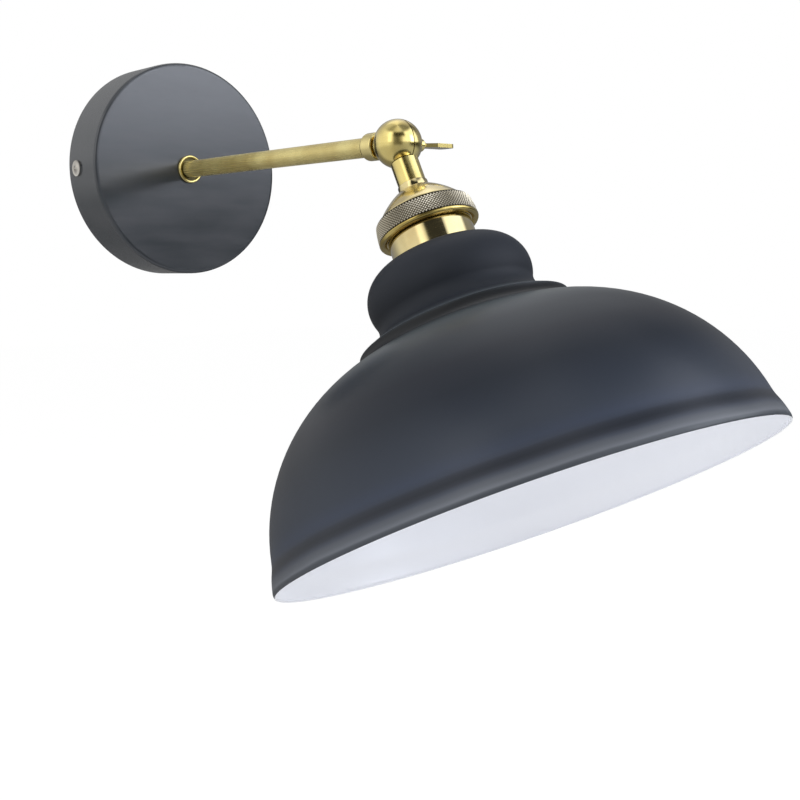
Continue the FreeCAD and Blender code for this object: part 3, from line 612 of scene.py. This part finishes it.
polished_brass = metal("antique_polished_brass", "dcca8a", "c4ac6c", 0.09, TURNED,
                       on_head=True, depth=FINE_HAIRS, lacquer=1)
ball_brass = metal("antique_ball_brass", "e7d27a", "cfb660", 0.17, TUMBLED,
                   depth=FINEST_HAIRS, lacquer=0.8)
cap_brass = metal("antique_cap_brass", "f0dea2", "d8c284", 0.20, TURNED,
                  on_head=True, depth=FINE_HAIRS, lacquer=0.6)
arm_brass = metal("antique_brushed_brass", "dfd08c", "c2ae6c", 0.26, BRUSHED,
                  depth=FINEST_HAIRS, metallic=0.65)
collar_brass = metal("antique_collar_brass", "ecdb98", "d4c180", 0.24, BRUSHED, depth=FINE_HAIRS)
lip_brass = metal("antique_lip_brass", "cdb872", "a9924e", 0.18, TURNED, on_head=True)
screw_brass = metal("turned_screw_brass", "d8bd78", "bfa05a", 0.25, TUMBLED)
nickel = metal("nickel_plate", "c9c5bd", "b5b0a8", 0.20, TUMBLED)
zinc_plate = metal("zinc_plated_steel", "b9bdc2", "a3a8ae", 0.33, ROLLED, depth=ROLLED_HAIRS)
print("materials so far:", len(bpy.data.materials))

# %% [markdown]
# The bush of the plate has a recess round the foot of the arm. The recess is
# painted dark, as painted shade, and only the lip keeps the brass colour. So
# its colour goes from the painted shade to the brass with the distance from the
# arm's axis, which is the Y axis.

# %% Bush with a dark recess
RECESS_TO = 6.2 * MM
LIP_FROM = 6.7 * MM
RECESS_BRASS_SHARE = 0.1
# Painted shade in the recess, near black.
RECESS_SHADE_COLOUR = "2e2a1c"

bush_brass = metal("antique_bush_brass", "dcca88", "bca968", 0.16, TUMBLED)
tree = bush_brass.node_tree
shader = next(node for node in tree.nodes if node.type == "BSDF_PRINCIPLED")
where = add_node(tree, "ShaderNodeTexCoord")
across = add_node(tree, "ShaderNodeVectorMath", {0: where.outputs["Object"], 1: (1, 0, 1)},
                  operation="MULTIPLY")
distance = add_node(tree, "ShaderNodeVectorMath", {0: across.outputs["Vector"]}, operation="LENGTH")
brass_share_by_distance = add_node(tree, "ShaderNodeMapRange", {
    "Value": distance.outputs["Value"],
    "From Min": RECESS_TO,
    "From Max": LIP_FROM,
    "To Min": RECESS_BRASS_SHARE,
    "To Max": 1,
})
with_painted_shade = add_node(tree, "ShaderNodeMixRGB", {
    "Fac": brass_share_by_distance.outputs["Result"],
    "Color1": linear(RECESS_SHADE_COLOUR),
    "Color2": shader.inputs["Base Color"].links[0].from_socket,
})
tree.links.new(with_painted_shade.outputs["Color"], shader.inputs["Base Color"])

# %% [markdown]
# The knurled band is the same brass, left dark in the antique bath. Handling
# rubs the tips of the diamonds bright and leaves the grooves between them
# dark. The band's mesh says which points are tips, in an attribute, and the
# colour follows it.

# %% Worn metal of the knurl
TIP_SHARE = "tip_share"
KNURL_STAIN_SIZE = 5 * MM
PIT_DEPTH = 0.02 * MM
KNURL_GLOSS = (0.28, 0.42)
GROOVE_COLOUR = "2c2821"
FLANK_COLOUR = "c0b7a2"
FLANK_FROM = 0.40
TIP_COLOUR = "fff6de"

knurl_metal, tree = new_material("dark_knurled_brass")
worn = add_node(tree, "ShaderNodeAttribute", attribute_name=TIP_SHARE)
where = add_node(tree, "ShaderNodeTexCoord")
stains = add_node(tree, "ShaderNodeTexNoise", {
    "Vector": where.outputs["Object"],
    "Scale": 1 / KNURL_STAIN_SIZE,
    "Detail": 3,
})
gloss = add_node(tree, "ShaderNodeMapRange", {
    "Value": stains.outputs["Fac"],
    "From Min": NOISE_LOW,
    "From Max": NOISE_HIGH,
    "To Min": KNURL_GLOSS[0],
    "To Max": KNURL_GLOSS[1],
})
tint = add_node(tree, "ShaderNodeValToRGB", {"Fac": worn.outputs["Fac"]})
set_stops(tint, [
    (0, linear(GROOVE_COLOUR)),
    (FLANK_FROM, linear(FLANK_COLOUR)),
    (1, linear(TIP_COLOUR)),
])
pits = add_node(tree, "ShaderNodeBump", {
    "Height": stains.outputs["Fac"],
    "Strength": 0.3,
    "Distance": PIT_DEPTH,
})
shader = add_node(tree, "ShaderNodeBsdfPrincipled", {
    "Base Color": tint.outputs["Color"],
    "Metallic": 1,
    "Roughness": gloss.outputs["Result"],
    "Normal": pits.outputs["Normal"],
})
finish_material(tree, shader)

# %% [markdown]
# ## Turned pieces
# A lathe piece is an outline swept round an axis. An outline here is a list of
# (radius, height) in millimetres, and a third number bows the edge that ends
# there: it is the edge's rise over half its length. The helpers divide the
# bowed edges into short chords.

# %% Outline helpers
ARC_STEP = 0.05


def arc_between(start, end, bow, step=ARC_STEP):
    """The points inside an arc between two points, one for each step of its angle in radians."""
    start, end = Vector(start), Vector(end)
    chord = end - start
    half_angle = 2 * math.atan(abs(bow))
    radius = chord.length / 2 / math.sin(half_angle)
    side = Vector((chord.y, -chord.x)).normalized() * math.copysign(1, bow)
    centre = (start + end) / 2 - side * radius * math.cos(half_angle)
    count = max(2, math.ceil(2 * half_angle / step))
    spoke = start - centre
    sweep = spoke.angle_signed(end - centre)
    for number in range(1, count):
        turned = spoke.copy()
        turned.rotate(Matrix.Rotation(-sweep * number / count, 2))
        yield tuple(centre + turned)


def with_arcs(outline):
    """The points of an outline with each bowed edge divided into short chords."""
    points = [outline[0][:2]]
    for previous, current in zip(outline, outline[1:]):
        bow = current[2] if len(current) == 3 else 0
        if bow:
            points.extend(arc_between(previous[:2], current[:2], bow))
        points.append(current[:2])
    return points

# %% [markdown]
# By hand one would start with a single point, extrude it along the outline and
# use Spin. The helpers do just that. The point is a plane that is merged at its
# centre.

# %% Lathe helpers
WELD = 0.002 * MM


def draw_chain(name, points):
    """A chain of edges in the XZ plane, each point extruded from the last, left in edit mode."""
    first = Vector((points[0][0], 0, points[0][1])) * MM
    bpy.ops.object.select_all(action="DESELECT")
    bpy.ops.mesh.primitive_plane_add(size=MM, location=(0, 0, 0))
    obj = bpy.context.object
    obj.name = name
    bpy.ops.object.mode_set(mode="EDIT")
    bpy.ops.mesh.select_mode(type="VERT")
    bpy.ops.mesh.merge(type="CENTER")
    bpy.ops.transform.translate(value=first)
    for previous, current in zip(points, points[1:]):
        move = Vector((current[0] - previous[0], 0, current[1] - previous[1])) * MM
        bpy.ops.mesh.extrude_region_move(TRANSFORM_OT_translate={"value": move})
    return obj


def lathe(name, outline, steps, closed=True):
    """A turned piece round the Z axis."""
    points = with_arcs(outline)
    if closed:
        points.append(points[0])
    obj = draw_chain(name, points)
    bpy.ops.mesh.select_all(action="SELECT")
    bpy.ops.mesh.spin(steps=steps, angle=2 * math.pi, center=(0, 0, 0), axis=(0, 0, 1))
    bpy.ops.mesh.select_all(action="SELECT")
    bpy.ops.mesh.remove_doubles(threshold=WELD)
    bpy.ops.mesh.normals_make_consistent(inside=False)
    bpy.ops.object.mode_set(mode="OBJECT")
    return obj

# %% [markdown]
# The last helpers select in code what one would click on, apply modifiers,
# smooth a piece, set it on the head's axis, and print how its box compares with
# the box of the solid that it stands for.

# %% Helpers to select, finish and place
def pick_only(obj):
    bpy.ops.object.select_all(action="DESELECT")
    obj.select_set(True)
    bpy.context.view_layer.objects.active = obj


def choose(obj, kind, test):
    """Selects the faces or the edges of a piece in edit mode that pass a test."""
    bpy.ops.mesh.select_mode(type=kind)
    bpy.ops.mesh.select_all(action="DESELECT")
    mesh = bmesh.from_edit_mesh(obj.data)
    chosen = [part for part in (mesh.faces if kind == "FACE" else mesh.edges) if test(part)]
    for part in chosen:
        part.select_set(True)
    bmesh.update_edit_mesh(obj.data)
    return len(chosen)


def apply_modifiers(obj):
    pick_only(obj)
    for modifier in list(obj.modifiers):
        bpy.ops.object.modifier_apply(modifier=modifier.name)


def smooth(obj, sharp_from):
    """Shades a piece smooth but for the edges that turn by more than some degrees."""
    pick_only(obj)
    bpy.ops.object.shade_smooth_by_angle(angle=math.radians(sharp_from))


def set_on_head(obj):
    """Moves an upright piece onto the shade's axis and applies its place."""
    pick_only(obj)
    obj.rotation_euler = Euler((HEAD_TURN, 0, 0))
    obj.location = BALL
    bpy.ops.object.transform_apply(location=True, rotation=True, scale=True)


def compare(obj, node):
    """Prints how far a new piece's box is from the box of the node that it stands for."""
    corners = [obj.matrix_world @ Vector(corner) for corner in obj.bound_box]
    low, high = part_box(node)
    for axis, letter in enumerate("XYZ"):
        values = [corner[axis] for corner in corners]
        print(obj.name, letter, round((min(values) - low[axis]) / MM, 2),
              round((max(values) - high[axis]) / MM, 2))

# %% [markdown]
# ## Shade
# The shade is spun from one sheet: a flat seat with a hole, a bulged neck, a
# waist that opens to a crisp edge, a hollow below the edge, the long dome, and
# a rolled band at the mouth. The outline was fitted to the silhouette in the
# picture. The bulge and the waist are arcs whose ends are shares of their size.

# %% Outline of the shade
SHADE_SEAT = 58.5
SHADE_DEPTH = 125.7
RIM_RADIUS = 116.2
HOLE_RADIUS = 19.3
CROWN_RADIUS = 21.7
BULGE = 17
BULGE_SHARES = Vector((0.931, 1.365))
BULGE_BOW = 0.528
WAIST = 7.6
WAIST_SHARES = Vector((0.431, 1.231))
WAIST_BOW = -0.371
EDGE = (49.5, 95.4)
DOME_START = (52.64, 101.0)
HOLLOW_BOW = -0.262
DOME_BOW = 0.292
ROLLED_HEIGHT = 14.7
ROLLED_INSET = 3.3
GROOVE_STEP = Vector((1, 4.1))
GROOVE_BOW = -0.043
ROLL_BOW = 0.056
RIM_HEIGHT = 1.8
RIM_INSET = 0.3
RIM_BOW = 0.12

mouth = SHADE_SEAT + SHADE_DEPTH
bulge_end = Vector((CROWN_RADIUS, SHADE_SEAT)) + BULGE_SHARES * BULGE
waist_end = bulge_end + WAIST_SHARES * WAIST
dome_end = Vector((RIM_RADIUS - ROLLED_INSET, mouth - ROLLED_HEIGHT))
groove_end = dome_end + GROOVE_STEP
shade_outline = [
    (HOLE_RADIUS, SHADE_SEAT),
    (CROWN_RADIUS, SHADE_SEAT),
    (*bulge_end, BULGE_BOW),
    (*waist_end, WAIST_BOW),
    EDGE,
    (*DOME_START, HOLLOW_BOW),
    (*dome_end, DOME_BOW),
    (*groove_end, GROOVE_BOW),
    (RIM_RADIUS, mouth - RIM_HEIGHT, ROLL_BOW),
    (RIM_RADIUS - RIM_INSET, mouth, RIM_BOW),
]
print("points of the shade's outline:", len(with_arcs(shade_outline)))

# %% [markdown]
# The shade needs two paints, so it is drawn as the outer face alone. A Solidify
# modifier then gives it the sheet's wall on the inner side and puts the white
# enamel on the faces that it makes.

# %% Spin the shade and give it its wall
SHADE_STEPS = 192
SHADE_WALL = 0.9
SHADE_SHARP = 35

shade = lathe("shade_shell", shade_outline, SHADE_STEPS, closed=False)
shade.data.materials.append(shade_coat)
shade.data.materials.append(white_enamel)
wall = shade.modifiers.new("sheet", "SOLIDIFY")
wall.thickness = SHADE_WALL * MM
wall.offset = -1
wall.material_offset = 1
wall.material_offset_rim = 1
wall.use_even_offset = True
apply_modifiers(shade)
smooth(shade, SHADE_SHARP)
set_on_head(shade)
compare(shade, "shade")
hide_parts("shade")
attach(shade, "lamp_head")

# %% [markdown]
# ## Collar at the foot of the stem
# A short turned collar, a little wider than the stem, covers the joint between
# the stem and the cap. Its side is straight, so that it mirrors the room in the
# same upright bands as the stem does, and its two corners are broken.

# %% Turn the collar
COLLAR_STEPS = 96
COLLAR_SHARP = 35
COLLAR_BORE = 5.3
COLLAR_FACE = 6.9
COLLAR_RADIUS = 7.2
COLLAR_TOP = 21.6
SIDE_TOP = 21.9
SIDE_FOOT = 24.6
COLLAR_FOOT = 24.95
CORNER_BOW = 0.3

collar_outline = [
    (COLLAR_BORE, COLLAR_TOP),
    (COLLAR_FACE, COLLAR_TOP),
    (COLLAR_RADIUS, SIDE_TOP, CORNER_BOW),
    (COLLAR_RADIUS, SIDE_FOOT),
    (COLLAR_FACE, COLLAR_FOOT, CORNER_BOW),
    (COLLAR_BORE, COLLAR_FOOT),
]
collar = lathe("stem_foot_collar", collar_outline, COLLAR_STEPS)
collar.data.materials.append(polished_brass)
smooth(collar, COLLAR_SHARP)
set_on_head(collar)
compare(collar, "neck_bead")
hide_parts("neck_bead")
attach(collar, "lamp_head")

# %% [markdown]
# ## Knurled ring
# A union ring screws onto the lampholder's body and clamps the domed cap. Its
# barrel is knurled: two sets of crossing grooves are rolled into it and leave
# rows of small diamond pyramids. The band is about 8 mm high. A real diamond is
# about 1.2 mm, and is drawn at 1.5 mm here, because the picture has only two
# pixels for a millimetre. The rest of the ring is plain: a fine groove, a
# polished lip, and a sloping underside. The band's arc is divided into as many
# chords as it has rows. The helper rounds the number of chords up, so it is
# asked for half a row less.

# %% Turn the ring
RING_INSIDE = 20.65
RING_TOP = 36.5
RING_CROWN = 22.0
RING_CORNER_BOW = 0.2
BAND_TOP = (22.5, 37.0)
BAND_FOOT = (23.6, 45.2)
BAND_BOW = 0.05
KNURL_ROWS = 6
KNURL_COLUMNS = 98
GROOVE_RADIUS = 23.2
LIP_RADIUS = 24.0
LIP_TOP = 45.6
LIP_FOOT_RADIUS = 23.4
RING_FOOT = 47.0

band_arc = 4 * math.atan(BAND_BOW)
row_chord = band_arc / (KNURL_ROWS - 0.5)
ring_outline = [
    (RING_INSIDE, RING_TOP),
    (RING_CROWN, RING_TOP),
    (*BAND_TOP, RING_CORNER_BOW),
    *arc_between(BAND_TOP, BAND_FOOT, BAND_BOW, row_chord),
    BAND_FOOT,
    (GROOVE_RADIUS, BAND_FOOT[1]),
    (GROOVE_RADIUS, LIP_TOP),
    (LIP_RADIUS, LIP_TOP),
    (LIP_FOOT_RADIUS, RING_FOOT, RING_CORNER_BOW),
    (RING_CROWN, RING_FOOT),
    (RING_INSIDE, LIP_TOP),
]
ring = lathe("knurled_union_ring", ring_outline, KNURL_COLUMNS)
print("diamond width:", round(2 * math.pi * BAND_FOOT[0] / KNURL_COLUMNS, 2), "mm")

# %% [markdown]
# By hand one would lay a square grid on the band and turn it by half a right
# angle, and edit mode does that with three operators. Poke gives each square a
# centre, Dissolve removes the old sides, which leaves diamonds, and a second
# Poke raises each diamond to a point.
#
# A face belongs to the band by its height and because it faces outward. After
# the first Poke an old side of a square is an edge between two triangles whose
# ends both have more edges than a new centre has. The side at the border of
# the band stays, so the pattern ends in a clean line.

# %% Cut the knurl
KNURL_RISE = 0.45
FACES_OUT = 0.5
CENTRE_EDGES = 4


def on_band(face):
    """Whether a face lies on the knurled band."""
    middle = face.calc_center_median()
    outward = Vector((middle.x, middle.y, 0)).normalized()
    return BAND_TOP[1] * MM < middle.z < BAND_FOOT[1] * MM and face.normal.dot(outward) > FACES_OUT


def is_old_side(edge):
    """Whether an edge is a side that two poked squares share."""
    beside = edge.link_faces
    return (all(on_band(face) and len(face.verts) == 3 for face in beside)
            and all(len(vert.link_edges) > CENTRE_EDGES for vert in edge.verts))


bpy.ops.object.mode_set(mode="EDIT")
squares = choose(ring, "FACE", on_band)
bpy.ops.mesh.poke()
sides = choose(ring, "EDGE", is_old_side)
bpy.ops.mesh.dissolve_edges(use_verts=False)
diamonds = choose(ring, "FACE", lambda face: on_band(face) and len(face.verts) == 4)
bpy.ops.mesh.poke(offset=KNURL_RISE * MM)
print("knurl: squares", squares, "sides removed", sides, "diamonds", diamonds)

# %% [markdown]
# A tip is a point with four edges and only triangles round it. The tips get
# their attribute, and the part of the ring below the band gets the brass of the
# lip.

# %% Mark the tips and set the ring in place
KNURL_SHARP = 25

ring_mesh = bmesh.from_edit_mesh(ring.data)
tips = [
    vert.index for vert in ring_mesh.verts
    if len(vert.link_edges) == CENTRE_EDGES and all(len(face.verts) == 3 for face in vert.link_faces)
]
ring.data.materials.append(knurl_metal)
ring.data.materials.append(lip_brass)
ring.active_material_index = 1
choose(ring, "FACE", lambda face: face.calc_center_median().z > BAND_FOOT[1] * MM)
bpy.ops.object.material_slot_assign()
bpy.ops.object.mode_set(mode="OBJECT")
tip_share = ring.data.attributes.new(TIP_SHARE, "FLOAT", "POINT")
for index in tips:
    tip_share.data[index].value = 1
print("tips marked:", len(tips))
smooth(ring, KNURL_SHARP)
set_on_head(ring)
compare(ring, "knurled_ring")
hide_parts("knurled_ring")
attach(ring, "lamp_head")

# %% [markdown]
# ## Threads
# Two threads can be seen from below. A thread is one turn's profile, which a
# Screw modifier carries up the axis. It starts a turn early and ends late, the
# two ends are cut square with Bisect, and Solidify gives it its wall. The
# profile is a chain again, given as radius and rise in millimetres.

# %% Thread helper
THREAD_STEPS = 64
THREAD_WELD = 0.02 * MM
CUT_TOLERANCE = 0.001 * MM
THREAD_SHARP = 40


def thread(name, profile, pitch, start, end, wall):
    """A thread between two heights. Its wall grows outward, or inward when it is negative."""
    lead_in = start - pitch
    obj = draw_chain(name, [(radius, lead_in + rise) for radius, rise in profile])
    bpy.ops.object.mode_set(mode="OBJECT")
    turn = obj.modifiers.new("turn", "SCREW")
    turn.steps = THREAD_STEPS
    turn.render_steps = THREAD_STEPS
    turn.screw_offset = pitch * MM
    turn.iterations = math.ceil((end - lead_in) / pitch) + 1
    turn.use_merge_vertices = True
    turn.merge_threshold = THREAD_WELD
    apply_modifiers(obj)
    bpy.ops.object.mode_set(mode="EDIT")
    bpy.ops.mesh.select_all(action="SELECT")
    bpy.ops.mesh.bisect(plane_co=(0, 0, start * MM), plane_no=(0, 0, 1), clear_inner=True,
                        threshold=CUT_TOLERANCE)
    bpy.ops.mesh.select_all(action="SELECT")
    bpy.ops.mesh.bisect(plane_co=(0, 0, end * MM), plane_no=(0, 0, 1), clear_outer=True,
                        threshold=CUT_TOLERANCE)
    bpy.ops.mesh.select_all(action="SELECT")
    bpy.ops.mesh.normals_make_consistent(inside=False)
    bpy.ops.object.mode_set(mode="OBJECT")
    sheet = obj.modifiers.new("sheet", "SOLIDIFY")
    sheet.thickness = abs(wall) * MM
    sheet.offset = math.copysign(1, wall)
    apply_modifiers(obj)
    smooth(obj, THREAD_SHARP)
    return obj

# %% [markdown]
# The screw shell that takes the lamp is thin brass, rolled into the round
# thread of a lamp cap. Its profile is one wave.

# %% Screw shell
SHELL_PITCH = 3.62
SHELL_MIDDLE = 13.75
SHELL_SWING = 0.35
SHELL_WALL = 0.3
SHELL_TOP = 63.5
SHELL_FOOT = 81.0
WAVE_STEP = 30

wave = [
    (SHELL_MIDDLE + SHELL_SWING * math.cos(math.radians(degrees)), SHELL_PITCH * degrees / 360)
    for degrees in range(0, 361, WAVE_STEP)
]
shell = thread("rolled_screw_shell", wave, SHELL_PITCH, SHELL_TOP, SHELL_FOOT, SHELL_WALL)
shell.data.materials.append(screw_brass)
set_on_head(shell)
compare(shell, "screw_shell")
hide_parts("screw_shell")
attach(shell, "lamp_head")

# %% [markdown]
# The outside of the lampholder has a shallow thread for the ring that clamps
# the shade. Its ridge rises, runs level and falls within one pitch, at shares
# of the pitch. The wall grows inward, into the lampholder's body.

# %% Thread for the shade ring
HOLDER_PITCH = 2.0
THREAD_ROOT = 19.1
THREAD_CREST = 19.5
THREAD_WALL = -0.3
THREAD_TOP = 66.5
THREAD_FOOT = 83.0
RIDGE_SHARES = (
    (THREAD_ROOT, 0), (THREAD_ROOT, 0.15), (THREAD_CREST, 0.45), (THREAD_CREST, 0.60),
    (THREAD_ROOT, 0.90), (THREAD_ROOT, 1),
)

ridge = [(radius, share * HOLDER_PITCH) for radius, share in RIDGE_SHARES]
holder_thread = thread("lampholder_thread", ridge, HOLDER_PITCH, THREAD_TOP, THREAD_FOOT, THREAD_WALL)
holder_thread.data.materials.append(polished_brass)
set_on_head(holder_thread)
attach(holder_thread, "lamp_head")
print("faces of the two threads:", len(shell.data.polygons), len(holder_thread.data.polygons))

# %% [markdown]
# ## Finishes of the solids
# The other pieces keep their solid and only get a finish. The list says which
# material each of them has, and every slot of the piece takes it.

# %% Finish of each CAD node
TERMINAL_SCREWS = [f"terminal_screw_{number}" for number in range(1, 5)]
FINISHES = {
    plate_coat: ("wall_plate",),
    zinc_plate: ("mounting_bracket", "bush_washer", "bush_nut", "stem_nipple", "cap_nut"),
    nickel: ("side_screw_left", "side_screw_right"),
    moulded_nylon: ("terminal_block",),
    screw_brass: (*TERMINAL_SCREWS, "earth_screw", "contact_screw_1", "contact_screw_2", "centre_contact"),
    arm_brass: ("arm_tube",),
    collar_brass: ("arm_collar",),
    pressed_fibre: ("friction_washer",),
    ball_brass: ("knuckle_arm_half", "knuckle_stem_half", "thumbscrew"),
    polished_brass: ("lampholder_body",),
    cap_brass: ("lampholder_cap",),
    bush_brass: ("plate_bush",),
    lip_brass: ("shade_ring",),
    glazed_ceramic: ("lamp_insert",),
}
for material, names in FINISHES.items():
    for name in names:
        for slot in frame["nodes"][name].material_slots:
            slot.material = material
print("solids with a finish:", sum(len(names) for names in FINISHES.values()))
